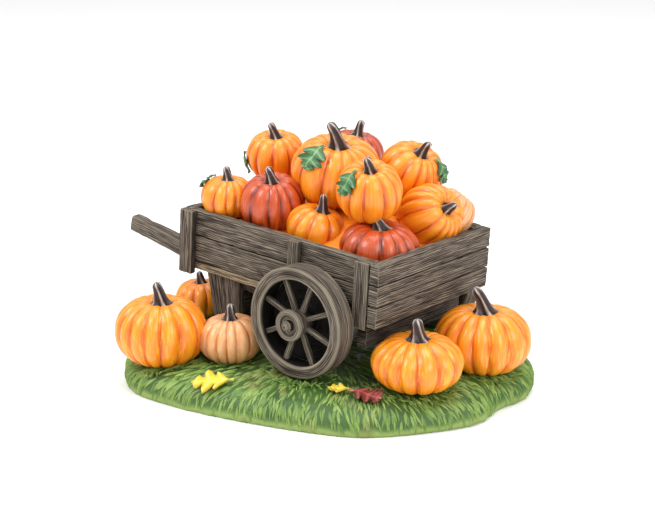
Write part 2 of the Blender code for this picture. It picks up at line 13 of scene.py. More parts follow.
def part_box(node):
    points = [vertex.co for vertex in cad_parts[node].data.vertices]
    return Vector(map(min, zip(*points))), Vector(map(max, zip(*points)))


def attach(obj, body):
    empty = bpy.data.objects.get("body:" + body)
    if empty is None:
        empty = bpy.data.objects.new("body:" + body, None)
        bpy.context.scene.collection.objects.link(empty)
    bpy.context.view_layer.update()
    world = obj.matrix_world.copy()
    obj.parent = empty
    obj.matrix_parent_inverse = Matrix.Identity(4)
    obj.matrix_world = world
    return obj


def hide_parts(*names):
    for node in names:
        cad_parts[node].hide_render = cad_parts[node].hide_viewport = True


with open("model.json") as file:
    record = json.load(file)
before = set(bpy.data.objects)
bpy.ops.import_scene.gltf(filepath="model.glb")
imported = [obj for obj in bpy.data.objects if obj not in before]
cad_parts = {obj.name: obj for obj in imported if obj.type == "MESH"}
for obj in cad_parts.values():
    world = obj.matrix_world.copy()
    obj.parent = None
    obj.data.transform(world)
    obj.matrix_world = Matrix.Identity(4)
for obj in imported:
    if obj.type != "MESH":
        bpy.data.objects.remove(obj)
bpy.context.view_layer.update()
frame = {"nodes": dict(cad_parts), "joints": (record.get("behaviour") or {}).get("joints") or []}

MM = 0.001

# The cart's frame, and the frame of its shafts, both on the axle
AXLE = Vector(frame["joints"][0]["pos_m"])
CART_PITCH = math.radians(3.84)
SHAFT_RISE = math.radians(8.2)
CART = Matrix.Translation(AXLE) @ Matrix.Rotation(CART_PITCH, 4, "Y")
SHAFTS = Matrix.Translation(AXLE) @ Matrix.Rotation(CART_PITCH + SHAFT_RISE, 4, "Y")
UPRIGHT = Matrix.Identity(4)
SIDES = {"near": -1, "far": 1}
ALONG, ACROSS, UP = 0, 1, 2

# Carved boards
WOOD_CELL = 0.26 * MM
HIDDEN_CELL = 0.8 * MM
WORN_EDGE = 0.42 * MM
CARVE_DEPTH = 0.2 * MM
PLANK_CARVE = 0.28 * MM
SHAFT_TIP_TAPER = 0.28

# Wheels
BORE = 1.25 * MM
WEB_THICKNESS = 0.9 * MM
SPOKES = 8
SPOKE_WIDTH = 1.3 * MM
SPOKE_FROM_FACE = 2.25 * MM
NAVE_SHARE = 0.80
KNOB_HOLLOW = 1.15 * MM

# Pumpkins, stems and leaves
FULLNESS = 1.00485
RIB_DEPTH = 0.115
STEM_RIDGES = 5
LEAF_THICKNESS = 0.28 * MM
FALLEN_LEAF_THICKNESS = 0.4 * MM

# Grass
BLADE_COUNT = 3900
BLADE_ROWS = 7
BLADE_LENGTHS = (3.2 * MM, 5.8 * MM)
BLADE_WIDTHS = (1.05 * MM, 1.70 * MM)
BLADE_LIFTS = (0.30 * MM, 0.62 * MM)
TUFT_LENGTHS = (2.0 * MM, 3.6 * MM)
TUFT_RISES = (0.6 * MM, 1.7 * MM)
MOUND_TOP = 8 * MM

# Camera
CAMERA_AZIMUTH = math.radians(38.864)
CAMERA_ELEVATION = math.radians(15.565)
CAMERA_DISTANCE = 0.45004
CAMERA_TARGET = Vector((-0.002586, 0, 0.030959))
CAMERA_SENSOR = 36
CAMERA_LENS = 95.8


# ------------ noise and meshes

def hashed(i, j, k):
    """A number from -1 to 1 for each whole-number place."""
    n = (i * 73856093) ^ (j * 19349663) ^ (k * 83492791)
    n = ((n ^ (n >> 13)) * 1274126177) & 0xFFFFFFFF
    return ((n ^ (n >> 16)) & 0xFFFF) / 32767.5 - 1


def smooth_noise(points):
    """Smooth noise from -1 to 1 at each point."""
    base = np.floor(points).astype(np.int64)
    f = points - base
    f = f * f * (3 - 2 * f)
    total = np.zeros(len(points))
    for dx in (0, 1):
        for dy in (0, 1):
            for dz in (0, 1):
                weight = (f[:, 0] if dx else 1 - f[:, 0]) * (f[:, 1] if dy else 1 - f[:, 1])
                weight = weight * (f[:, 2] if dz else 1 - f[:, 2])
                total += weight * hashed(base[:, 0] + dx, base[:, 1] + dy, base[:, 2] + dz)
    return total


def layered_noise(points):
    """Noise from -1 to 1 with two finer layers on top."""
    total = sum(smooth_noise(points * 2.03 ** layer + 17.3 * layer) / 2 ** layer for layer in range(3))
    return total / 1.75


def smoothstep(low, high, x):
    """A smooth rise from 0 at low to 1 at high."""
    t = np.clip((x - low) / (high - low), 0, 1)
    return t * t * (3 - 2 * t)


def add_object(name, data):
    """A new object in the scene."""
    made = bpy.data.objects.new(name, data)
    bpy.context.scene.collection.objects.link(made)
    return made


def new_piece(name, points, faces, material, smooth=True, **attributes):
    """A mesh object with named point attributes: numbers or vectors."""
    mesh = bpy.data.meshes.new(name)
    mesh.from_pydata(np.asarray(points).tolist(), [], faces)
    for key, values in attributes.items():
        values = np.asarray(values, np.float32)
        vector = values.ndim == 2
        layer = mesh.attributes.new(key, "FLOAT_VECTOR" if vector else "FLOAT", "POINT")
        layer.data.foreach_set("vector" if vector else "value", values.ravel())
    mesh.materials.append(material)
    if smooth:
        mesh.shade_smooth()
    mesh.update()
    return add_object(name, mesh)


def adopt(piece, body, slot, *nodes):
    """The piece rides on a body and stands for some CAD nodes. Its slot is not used."""
    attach(piece, body)
    if nodes:
        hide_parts(*nodes)


def join_parts(parts):
    """Several (points, faces, attributes) as one."""
    points, faces, start = [], [], 0
    merged = {key: [] for key in parts[0][2]}
    for part_points, part_faces, attributes in parts:
        points.append(part_points)
        faces += [[i + start for i in face] for face in part_faces]
        for key in merged:
            merged[key].append(attributes[key])
        start += len(part_points)
    return np.vstack(points), faces, {key: np.concatenate(rows) for key, rows in merged.items()}


def ring_faces(rings, steps, loop=False):
    """Quads between rings of points. The last ring joins the first, or else a cap closes each end."""
    faces = []
    for r in range(rings if loop else rings - 1):
        a, b = r * steps, ((r + 1) % rings) * steps
        for i in range(steps):
            j = (i + 1) % steps
            faces.append([a + i, a + j, b + j, b + i])
    if not loop:
        faces.append(list(range(steps))[::-1])
        faces.append([(rings - 1) * steps + i for i in range(steps)])
    return faces


def transform(points, matrix):
    """The points moved by a matrix."""
    m = np.array(matrix)
    return points @ m[:3, :3].T + m[:3, 3]


def node_points(node):
    """A CAD node's vertices at rest."""
    mesh = frame["nodes"][node].data
    co = np.empty(len(mesh.vertices) * 3)
    mesh.vertices.foreach_get("co", co)
    return co.reshape(-1, 3)


def local_box(node, matrix):
    """A CAD node's lowest and highest corners in another frame."""
    points = transform(node_points(node), matrix.inverted())
    return points.min(0), points.max(0)


def unit(vectors):
    """Vectors of length one with the same directions."""
    return vectors / np.linalg.norm(vectors, axis=-1, keepdims=True)


def seed_of(name, limit):
    """A whole number under the limit that stays the same for a name."""
    return sum(map(ord, name)) % limit


def around(steps):
    """Evenly spaced angles once round."""
    return np.linspace(0, 2 * math.pi, steps, endpoint=False)


# ------------ shader helpers

def new_material(name):
    """A material with its node tree and its shader."""
    material = bpy.data.materials.new(name)
    material.use_nodes = True
    return material, material.node_tree, material.node_tree.nodes["Principled BSDF"]


def feed(tree, socket, value):
    """Links an input to another node's output, or sets its value."""
    if isinstance(value, bpy.types.NodeSocket):
        tree.links.new(value, socket)
    else:
        socket.default_value = value


def add_node(tree, kind, settings=None, **inputs):
    """A shader node with settings, and with inputs given as values or as sockets."""
    made = tree.nodes.new("ShaderNode" + kind)
    for key, value in (settings or {}).items():
        setattr(made, key, value)
    for key, value in inputs.items():
        feed(tree, made.inputs[key.replace("_", " ")], value)
    return made


def attribute(tree, name, output="Fac"):
    """A point attribute of the mesh."""
    return add_node(tree, "Attribute", {"attribute_name": name}).outputs[output]


def math_node(tree, operation, a, b=0.0, clamp=False):
    """The result of an operation on two numbers."""
    made = add_node(tree, "Math", {"operation": operation, "use_clamp": clamp})
    feed(tree, made.inputs[0], a)
    feed(tree, made.inputs[1], b)
    return made.outputs[0]


def weighted(tree, offset, *terms):
    """An offset plus each value times its weight."""
    total = offset
    for value, weight in terms:
        total = math_node(tree, "ADD", math_node(tree, "MULTIPLY", value, weight), total)
    return total


def ramp(tree, factor, stops):
    """A colour ramp from a list of (place, colour)."""
    made = add_node(tree, "ValToRGB", Fac=factor)
    elements = made.color_ramp.elements
    while len(elements) < len(stops):
        elements.new(0.5)
    for element, (place, colour) in zip(elements, stops):
        element.position = place
        element.color = (*colour, 1)
    return made.outputs["Color"]


def mix(tree, factor, paint, colour):
    """A colour laid over the paint."""
    made = add_node(tree, "Mix", {"data_type": "RGBA"})
    for index, value in ((0, factor), (6, paint), (7, (*colour, 1))):
        feed(tree, made.inputs[index], value)
    return made.outputs[2]


def stretched(tree, vector, scale):
    """A place times a scale along each axis."""
    return add_node(tree, "Mapping", Vector=vector, Scale=scale).outputs["Vector"]


def noise_value(tree, vector, scale, detail=3.0, roughness=0.55):
    """Noise from 0 to 1."""
    made = add_node(tree, "TexNoise", Vector=vector, Scale=scale, Detail=detail,
                    Roughness=roughness)
    return made.outputs["Fac"]


def finish(tree, shader, paint, roughness, height, depth, strength):
    """Gives the shader its paint, its roughness and a relief."""
    tree.links.new(paint, shader.inputs["Base Color"])
    shader.inputs["Roughness"].default_value = roughness
    relief = add_node(tree, "Bump", Height=height, Distance=depth, Strength=strength)
    tree.links.new(relief.outputs["Normal"], shader.inputs["Normal"])


# ------------ materials

def furrow_value(tree, grain):
    """Even furrows along the grain, half a millimetre apart, that wander a little."""
    parts = add_node(tree, "SeparateXYZ", Vector=grain)
    across = math_node(tree, "ADD", parts.outputs["Y"], parts.outputs["Z"])
    wander = noise_value(tree, stretched(tree, grain, (0.09, 0.45, 0.45)), 1.0, 2.0)
    wave = math_node(tree, "SINE", weighted(tree, 0.0, (across, 12.0), (wander, 18.0)))
    return weighted(tree, 0.5, (wave, 0.5))


def wood_material(name, deep, middle, light, brushed):
    """Painted carved wood: dark in the cuts, dry-brushed along the grain and on worn edges, and near-black
    with painted shade where its shadow mask lies.
    """
    material, tree, shader = new_material(name)
    grain = attribute(tree, "grain", "Vector")
    lines = noise_value(tree, stretched(tree, grain, (0.11, 2.6, 2.6)), 1.0, 2.0, 0.55)
    hairs = noise_value(tree, stretched(tree, grain, (0.28, 6.0, 6.0)), 1.0, 2.0, 0.5)
    furrows = furrow_value(tree, grain)
    level = weighted(tree, -0.77, (attribute(tree, "carve"), 0.34), (lines, 0.75), (hairs, 0.75),
                     (furrows, 0.36))
    paint = ramp(tree, level, [(0.10, deep), (0.38, middle), (0.62, light), (0.92, brushed)])
    rubbed = math_node(tree, "ADD", lines, 0.25)
    worn = math_node(tree, "MULTIPLY", attribute(tree, "edge"), rubbed, True)
    paint = mix(tree, worn, paint, brushed)
    # Painted shade: the shadow mask darkens the paint towards near-black.
    paint = mix(tree, attribute(tree, "shadow"), paint, SHADE_AND_RECESS_PAINT)
    shader.inputs["Specular IOR Level"].default_value = 0.22
    finish(tree, shader, paint, 0.62, math_node(tree, "ADD", lines, furrows), 0.16 * MM, 0.8)
    return material


def pumpkin_material(name, stops, streak_colour, streaks):
    """Glossy painted skin: darker grooves, lighter crests and fine streaks from pole to pole."""
    material, tree, shader = new_material(name)
    place = attribute(tree, "skin", "Vector")
    fine = noise_value(tree, stretched(tree, place, (1.9, 0.16, 1.0)), 1.0, 4.0, 0.62)
    broad = noise_value(tree, stretched(tree, place, (0.42, 0.12, 1.0)), 1.0, 2.0)
    level = weighted(tree, -0.65, (attribute(tree, "rib"), 1.0), (broad, 0.55), (fine, 0.75))
    paint = ramp(tree, level, stops)
    line = ramp(tree, fine, [(0.50, (0, 0, 0)), (0.64, (1, 1, 1))])
    paint = mix(tree, math_node(tree, "MULTIPLY", line, streaks, True), paint, streak_colour)
    shader.inputs["Coat Weight"].default_value = 0.35
    shader.inputs["Coat Roughness"].default_value = 0.16
    finish(tree, shader, paint, 0.36, fine, 0.12 * MM, 0.6)
    return material


def stem_material():
    """Dark glossy stems with grey dry-brushed ridges."""
    material, tree, shader = new_material("stem_paint")
    place = attribute(tree, "grain", "Vector")
    fine = noise_value(tree, stretched(tree, place, (3.0, 0.6, 1.0)), 1.0)
    level = math_node(tree, "MULTIPLY", attribute(tree, "carve"), math_node(tree, "ADD", fine, 0.45))
    paint = ramp(tree, level, [(0.20, (0.022, 0.011, 0.008)), (0.52, (0.080, 0.045, 0.033)),
                               (0.76, (0.24, 0.20, 0.18)), (1.0, (0.50, 0.47, 0.45))])
    finish(tree, shader, paint, 0.38, fine, 0.12 * MM, 0.7)
    return material


def leaf_material(name, dark, light, vein_colour):
    """A painted leaf: darker by its rim, with pale veins."""
    material, tree, shader = new_material(name)
    place = attribute(tree, "grain", "Vector")
    mottled = noise_value(tree, place, 0.9)
    level = weighted(tree, 0.0, (attribute(tree, "carve"), 0.6), (mottled, 0.5))
    paint = ramp(tree, level, [(0.25, dark), (0.85, light)])
    vein = math_node(tree, "MULTIPLY", attribute(tree, "vein"), 0.85, True)
    paint = mix(tree, vein, paint, vein_colour)
    finish(tree, shader, paint, 0.42, mottled, 0.10 * MM, 0.5)
    return material


def grass_material(name, root, middle, tip, dry):
    """Painted blades: dark at the root, yellow-green at the tip, each a little different."""
    material, tree, shader = new_material(name)
    place = attribute(tree, "grain", "Vector")
    fine = noise_value(tree, place, 2.2)
    level = weighted(tree, -0.15, (attribute(tree, "along"), 0.55), (attribute(tree, "shade"), 0.45),
                     (fine, 0.3))
    paint = ramp(tree, level, [(0.05, root), (0.50, middle), (0.92, tip)])
    patch = noise_value(tree, place, 0.10, 2.0)
    patch = ramp(tree, patch, [(0.56, (0, 0, 0)), (0.74, (0.55, 0.55, 0.55))])
    paint = mix(tree, patch, paint, dry)
    finish(tree, shader, paint, 0.55, fine, 0.10 * MM, 0.5)
    return material


# Near-black painted shade for the shadow masks; in the wheels' recesses it is partly their black paint.
SHADE_AND_RECESS_PAINT = (0.0040, 0.0026, 0.0018)
WOOD = wood_material("weathered_wood", (0.020, 0.013, 0.010), (0.078, 0.060, 0.047),
                     (0.195, 0.162, 0.122), (0.37, 0.325, 0.235))
WOOD_PALE = wood_material("pale_wood", (0.040, 0.025, 0.014), (0.20, 0.150, 0.095),
                          (0.38, 0.31, 0.195), (0.55, 0.47, 0.31))
WOOD_DARK = wood_material("shaded_wood", (0.010, 0.007, 0.005), (0.045, 0.034, 0.026),
                          (0.12, 0.095, 0.072), (0.26, 0.22, 0.16))
ORANGE = pumpkin_material("orange_skin", [(0.10, (0.52, 0.070, 0.002)), (0.34, (0.80, 0.170, 0.004)),
                                          (0.75, (0.86, 0.222, 0.005)), (1.0, (0.88, 0.29, 0.010))],
                          (0.92, 0.38, 0.018), 0.50)
STREAKED = pumpkin_material("streaked_orange_skin",
                            [(0.10, (0.66, 0.110, 0.003)), (0.34, (0.79, 0.168, 0.004)),
                             (0.75, (0.85, 0.220, 0.005)), (1.0, (0.87, 0.275, 0.008))],
                            (0.93, 0.41, 0.022), 0.90)
RED = pumpkin_material("red_skin", [(0.10, (0.035, 0.005, 0.003)), (0.22, (0.22, 0.020, 0.004)),
                                    (0.55, (0.42, 0.040, 0.006)), (1.0, (0.53, 0.070, 0.011))],
                       (0.64, 0.16, 0.035), 0.40)
PEACH = pumpkin_material("peach_skin", [(0.10, (0.60, 0.18, 0.035)), (0.45, (0.70, 0.29, 0.095)),
                                        (1.0, (0.75, 0.37, 0.155))], (0.82, 0.52, 0.34), 0.55)
SKIN_SLOTS = {ORANGE: "pumpkin_orange", STREAKED: "pumpkin_orange", RED: "pumpkin_red",
              PEACH: "pumpkin_peach"}
STEM = stem_material()
LEAF = leaf_material("green_leaf", (0.008, 0.050, 0.016), (0.045, 0.17, 0.050), (0.30, 0.44, 0.22))
YELLOW_LEAF = leaf_material("yellow_leaf", (0.42, 0.27, 0.012), (0.86, 0.66, 0.04),
                            (0.93, 0.80, 0.20))
RED_LEAF = leaf_material("red_leaf", (0.085, 0.012, 0.012), (0.25, 0.035, 0.032),
                         (0.42, 0.14, 0.11))
BLADES = grass_material("grass_blades", (0.045, 0.125, 0.020), (0.185, 0.300, 0.055),
                        (0.40, 0.50, 0.135), (0.30, 0.26, 0.10))
MOUND = grass_material("grass_mound", (0.014, 0.050, 0.008), (0.065, 0.145, 0.022),
                       (0.24, 0.345, 0.080), (0.16, 0.14, 0.04))


# ------------ carved wood

def stations(length, cell, radius):
    """Places along an edge, close together where it is rounded."""
    count = max(2, round((length - 2 * radius) / cell))
    inner = np.linspace(radius, length - radius, count + 1)
    bend = radius * np.array([0, 0.12, 0.42])
    return np.concatenate([bend, inner, length - bend[::-1]])


def box_surface(places):
    """Points and outward quads on the surface of a box whose edges are cut at the given places."""
    counts = [len(p) for p in places]
    quads = []
    for axis in range(3):
        i, j = (axis + 1) % 3, (axis + 2) % 3
        a, b = np.meshgrid(np.arange(counts[i] - 1), np.arange(counts[j] - 1), indexing="ij")
        for side in (0, counts[axis] - 1):
            corners = []
            for da, db in ((0, 0), (1, 0), (1, 1), (0, 1)):
                place = [None] * 3
                place[axis], place[i], place[j] = np.full(a.shape, side), a + da, b + db
                corners.append(place[0] * counts[1] * counts[2] + place[1] * counts[2] + place[2])
            quad = np.stack(corners, -1).reshape(-1, 4)
            quads.append(quad if side else quad[:, ::-1])
    keys, faces = np.unique(np.vstack(quads), return_inverse=True)
    at = np.stack([keys // (counts[1] * counts[2]), keys // counts[2] % counts[1],
                   keys % counts[2]], -1)
    points = np.stack([places[axis][at[:, axis]] for axis in range(3)], -1)
    return points, faces.reshape(-1, 4).tolist()


def wood_cut(grain, seed):
    """How far each point stands proud, 0 to 1: wavy cuts along the grain, broken here and there."""
    across = grain.copy()
    wave = 0.5 * smooth_noise(grain * (0.11, 0.2, 0.2) + seed)
    across[:, 1:] += wave[:, None]
    cut = np.abs(smooth_noise(across * (0.060, 0.75, 0.75) + 3.1 * seed))
    fine = np.abs(smooth_noise(across * (0.10, 1.6, 1.6) + 7.7 * seed))
    return 0.55 * smoothstep(0.0, 0.18, cut) + 0.45 * smoothstep(0.0, 0.30, fine)


def carved_block(low, high, grain_axis, seed, cell=WOOD_CELL, radius=WORN_EDGE, depth=CARVE_DEPTH,
                 shape=None, wash=0.0):
    """A worn block of wood between two corners: points, quads and attributes, in its own frame.
    A shape function bends the points; the last option paints shade on the face towards the tail."""
    low, high = np.asarray(low, float), np.asarray(high, float)
    size = high - low
    radius = min(radius, 0.45 * size.min())
    cells = [cell * (4 if k == grain_axis else 1) for k in range(3)]
    points, faces = box_surface([stations(size[k], cells[k], radius) for k in range(3)])
    half = size / 2
    centred = points - half
    wear = 0.5 * radius * (1 + smooth_noise(points / (2.5 * MM) + seed * 5))
    limit = half - (0.55 * radius + 0.45 * wear)[:, None]
    core = np.clip(centred, -limit, limit)
    away = centred - core
    normal = unit(away)
    rounded = core + normal * (half - limit).min(1)[:, None]
    order = [grain_axis, (grain_axis + 1) % 3, (grain_axis + 2) % 3]
    grain = points[:, order] / MM
    end_grain = np.abs(normal[:, grain_axis]) > 0.8
    grain[end_grain] = np.roll(grain[end_grain], 1, axis=1)
    carve = wood_cut(grain, seed)
    edge = 1 - smoothstep(0.62, 0.98, np.abs(normal).max(1))
    rounded -= normal * (depth * (1 - carve))[:, None]
    place = rounded + half + low
    if shape:
        place = shape(place)
    return place, faces, {"grain": grain + seed * 31.7, "carve": carve, "edge": edge,
                          "shadow": wash * smoothstep(0.55, 0.95, normal[:, 0])}


def board(node, frame_matrix, grain_axis, material=WOOD, slot="wood", **options):
    """Remakes a sawn CAD board as a carved one in the same place."""
    low, high = local_box(node, frame_matrix)
    points, faces, attributes = carved_block(low, high, grain_axis, seed_of(node, 97), **options)
    piece = new_piece(node + "_carved", transform(points, frame_matrix), faces, material, **attributes)
    adopt(piece, "root", slot, node)


def make_boards():
    """All the straight boards of the cart."""
    for side in SIDES:
        for plank in ("upper_plank", "lower_plank"):
            board(f"{side}_{plank}", CART, ALONG, depth=PLANK_CARVE)
        board(f"{side}_bottom_rail", CART, ALONG, WOOD_PALE, "wood_pale", depth=0.16 * MM)
        for post in ("front_post", "tail_post"):
            # Painted shade on the posts' and battens' faces towards the tail.
            board(f"{side}_{post}", CART, UP, radius=0.6 * MM, wash=0.72)
        board(f"{side}_middle_batten", CART, UP, wash=0.35)
    for word in ("lower", "middle", "upper"):
        board(f"front_{word}_plank", CART, ACROSS, depth=PLANK_CARVE)
        board(f"tail_{word}_plank", CART, ACROSS, depth=0.24 * MM, radius=0.36 * MM)
    for i in (1, 2, 3):
        board(f"floor_board_{i}", CART, ALONG, WOOD_DARK, cell=HIDDEN_CELL)
    board("tail_beam", CART, ACROSS, WOOD_DARK)
    board("axle_bolster", CART, ACROSS, WOOD_DARK, cell=0.6 * MM)


def make_shafts():
    """The handle shafts, which narrow to a rounded tip."""
    for side in SIDES:
        node = side + "_shaft"
        low, high = local_box(node, SHAFTS)
        middle = (low[1] + high[1]) / 2
        front = local_box("front_upper_plank", SHAFTS)[0][0]

        def taper(points):
            share = np.clip((front - points[:, 0]) / (front - low[0]), 0, 1)
            points[:, 1] = middle + (points[:, 1] - middle) * (1 - SHAFT_TIP_TAPER * share)
            return points

        board(node, SHAFTS, ALONG, shape=taper, radius=0.9 * MM, depth=0.25 * MM)


def make_legs():
    """The tapered front legs and the brace between them, upright in the world."""
    for side in SIDES:
        node = side + "_leg"
        points = node_points(node)
        low, high = points.min(0), points.max(0)
        foot = points[points[:, 2] < low[2] + 1 * MM]
        foot_left = foot[:, 0].min()

        def taper(place):
            rise = (place[:, 2] - low[2]) / (high[2] - low[2])
            left = foot_left + (low[0] - foot_left) * rise
            share = (place[:, 0] - low[0]) / (high[0] - low[0])
            place[:, 0] = left + (high[0] - left) * share
            return place

        board(node, UPRIGHT, UP, shape=taper, depth=PLANK_CARVE)
    board("leg_brace", UPRIGHT, ACROSS, WOOD_DARK)


# ------------ wheels

def turned(profile, steps, seed, depth):
    """A closed outline of (y, radius) turned about the axle, with cuts that follow its turning."""
    profile = np.asarray(profile, float)
    rings = len(profile)
    ahead, behind = np.roll(profile, -1, 0), np.roll(profile, 1, 0)
    run = ahead - behind
    out = np.stack([-run[:, 1], run[:, 0]], -1)
    out /= np.linalg.norm(out, axis=1)[:, None] + 1e-12
    if np.sum(profile[:, 0] * ahead[:, 1] - ahead[:, 0] * profile[:, 1]) > 0:
        out = -out
    y, radius = np.repeat(profile, steps, 0).T
    turn = np.tile(around(steps), rings)
    mirrored = np.abs((turn / math.pi + 1) % 2 - 1) * math.pi
    grain = np.stack([mirrored * radius.mean(), y, radius], -1) / MM
    carve = wood_cut(grain, seed)
    corner = np.linalg.norm(ahead - 2 * profile + behind, axis=1)
    corner = np.repeat(corner / corner.max(), steps)
    sunk = np.repeat(out, steps, 0) * (depth * (1 - carve))[:, None]
    y, radius = y - sunk[:, 0], radius - sunk[:, 1]
    points = np.stack([radius * np.cos(turn), y, radius * np.sin(turn)], -1) + np.array(AXLE)
    return points, ring_faces(rings, steps, loop=True), {
        "grain": grain, "carve": carve, "edge": 0.7 * corner ** 2, "shadow": np.zeros(len(points))}


def outline_points(corners, spacing, bevel):
    """A closed outline with cut corners and points along its runs."""
    corners = [np.array(c, float) for c in corners]
    found = []
    count = len(corners)
    for n in range(count):
        before, here, after = corners[n - 1], corners[n], corners[(n + 1) % count]
        start = here + unit(before - here) * bevel
        end = here + unit(after - here) * bevel
        middle = 0.3375 * (start + end) + 0.325 * here
        found += [start, middle, end]
        reach = after - unit(after - here) * bevel
        pieces = max(1, round(np.linalg.norm(reach - end) / spacing))
        found += [end + (reach - end) * k / pieces for k in range(1, pieces)]
    return np.array(found)


def ends_across(node):
    """A node's ends along Y, the one nearer the middle of the cart first."""
    low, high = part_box(node)
    return sorted((low.y, high.y), key=abs)


def round_radius(node):
    """The radius of a node that is round about the axle."""
    low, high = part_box(node)
    return (high.x - low.x) / 2


def make_rim(body, side, hole, faces_y):
    """The felloe ring, with painted shade deep inside its hole, partly the recess's black paint."""
    inner_face, outer_face = faces_y
    outer = round_radius(body + "_felloe_ring")
    corners = [(inner_face, hole), (inner_face, outer), (outer_face, outer), (outer_face, hole)]
    outline = outline_points(corners, 0.42 * MM, 0.5 * MM)
    points, faces, attributes = turned(outline, 220, 11 + side, 0.13 * MM)
    depth = side * (outer_face - points[:, 1])
    reach = np.hypot(points[:, 0] - AXLE.x, points[:, 2] - AXLE.z)
    in_hole = 1 - smoothstep(hole + 0.1 * MM, hole + 0.5 * MM, reach)
    # Painted shade, darker deeper in the hole.
    attributes["shadow"] = in_hole * smoothstep(0.3 * MM, 1.2 * MM, depth)
    piece = new_piece(body + "_carved_rim", points, faces, WOOD, **attributes)
    adopt(piece, body, "wood", body + "_felloe_ring")


def make_spokes(body, side, hole, faces_y):
    """The nave with the web behind its spokes, near-black towards the web: painted shade, partly the
    recess's black paint.
    """
    inner_face, outer_face = faces_y
    nave_end = ends_across(body + "_nave_and_spokes")[1]
    nave_radius = NAVE_SHARE * round_radius(body + "_hub_cap")
    web = inner_face + side * WEB_THICKNESS
    web_radius = hole - 0.1 * MM
    corners = [(inner_face, BORE), (inner_face, web_radius), (web, web_radius), (web, nave_radius),
               (nave_end, nave_radius), (nave_end, BORE)]
    parts = [turned(outline_points(corners, 0.6 * MM, 0.2 * MM), 96, 23 + side, 0.10 * MM)]
    middle = outer_face - side * SPOKE_FROM_FACE
    half = SPOKE_WIDTH / 2
    for i in range(SPOKES):
        points, faces, attributes = carved_block(
            (BORE + 0.5 * MM, middle - half, -half), (hole + 0.5 * MM, middle + half, half), ALONG,
            5 * i + 3, cell=0.34 * MM, radius=0.35 * MM, depth=0.14 * MM)
        spin = Matrix.Translation(AXLE) @ Matrix.Rotation((i + 0.5) * 2 * math.pi / SPOKES, 4, "Y")
        parts.append((transform(points, spin), faces, attributes))
    points, faces, attributes = join_parts(parts)
    # Painted shade in the recess, darkest at the web and partly its black paint.
    attributes["shadow"] = 1 - smoothstep(0.8 * MM, 3.2 * MM, side * (points[:, 1] - web))
    piece = new_piece(body + "_carved_spokes", points, faces, WOOD, **attributes)
    adopt(piece, body, "wood", body + "_nave_and_spokes")


def make_hub_cap(body, side):
    """The dished cap on the nave."""
    foot, top = ends_across(body + "_hub_cap")
    radius = round_radius(body + "_hub_cap")
    dish = top - 0.45 * (top - foot)
    corners = [(foot, BORE), (foot, radius), (top, radius), (top, 0.66 * radius), (dish, 0.60 * radius),
               (dish, BORE)]
    outline = outline_points(corners, 0.4 * MM, 0.22 * MM)
    points, faces, attributes = turned(outline, 96, 37 + side, 0.15 * MM)
    piece = new_piece(body + "_carved_hub_cap", points, faces, WOOD, **attributes)
    adopt(piece, body, "wood", body + "_hub_cap")


def make_knob(side_name):
    """The domed cap on the end of the fixed axle."""
    node = side_name + "_axle_cap"
    foot, top = ends_across(node)
    radius = round_radius(node)
    dome = [(foot + (top - foot) * math.sin(a), radius * math.cos(a))
            for a in np.linspace(0, math.radians(84), 8)]
    outline = [(foot, KNOB_HOLLOW), *dome, (foot + 0.35 * (top - foot), 0.02 * MM)]
    points, faces, attributes = turned(outline, 40, 41, 0.06 * MM)
    piece = new_piece(side_name + "_axle_knob", points, faces, WOOD, **attributes)
    adopt(piece, "root", "iron_paint", node)


def make_wheel(side_name, side):
    """One wheel and the axle's cap beyond it."""
    body = side_name + "_wheel"
    ring = node_points(body + "_felloe_ring") - np.array(AXLE)
    hole = np.hypot(ring[:, 0], ring[:, 2]).min()
    faces_y = ends_across(body + "_felloe_ring")
    make_rim(body, side, hole, faces_y)
    make_spokes(body, side, hole, faces_y)
    make_hub_cap(body, side)
    make_knob(side_name)


# ------------ pumpkins

class Pumpkin:
    """A lobed pumpkin's surface in its own frame, with its axis along Z."""

    def __init__(self, node, radius, half_height, lean, heading, lobes, frame_matrix):
        self.node = node
        self.radius = radius * MM
        self.half = half_height * MM
        self.lobes = lobes
        self.seed = seed_of(node, 89) + 0.37
        swing = Matrix.Rotation(math.radians(heading), 4, "Z")
        tip = swing @ Matrix.Rotation(math.radians(lean), 4, "Y") @ swing.inverted()
        self.matrix = frame_matrix @ tip

    def rib(self, angle):
        """0 in a groove and 1 on the crest between two."""
        uneven = angle + 0.13 * np.sin(2 * angle + self.seed) + 0.07 * np.sin(3 * angle + 2 * self.seed)
        return np.abs(np.sin(self.lobes * uneven / 2))

    def surface(self, angle, polar, lift=0.0):
        """Points at an angle round the axis and a polar angle from the top."""
        sink = RIB_DEPTH * (1 - self.rib(angle) ** 0.60) * np.sin(polar) ** 0.35
        lump = 1 + 0.025 * np.sin(angle + self.seed) + 0.02 * np.sin(2 * angle - self.seed)
        reach = self.radius * FULLNESS * np.sin(polar) ** 0.80 * (1 - sink) * lump + lift * np.sin(polar)
        share = reach / self.radius
        dimple = 0.34 * np.exp(-(share / 0.30) ** 2) * (polar < math.pi / 2)
        sole = 0.16 * np.exp(-(share / 0.35) ** 2) * (polar >= math.pi / 2)
        height = self.half * (np.cos(polar) * (1 - 0.35 * sink) - dimple + sole) + lift * np.cos(polar)
        return np.stack([reach * np.cos(angle), reach * np.sin(angle), height], -1)


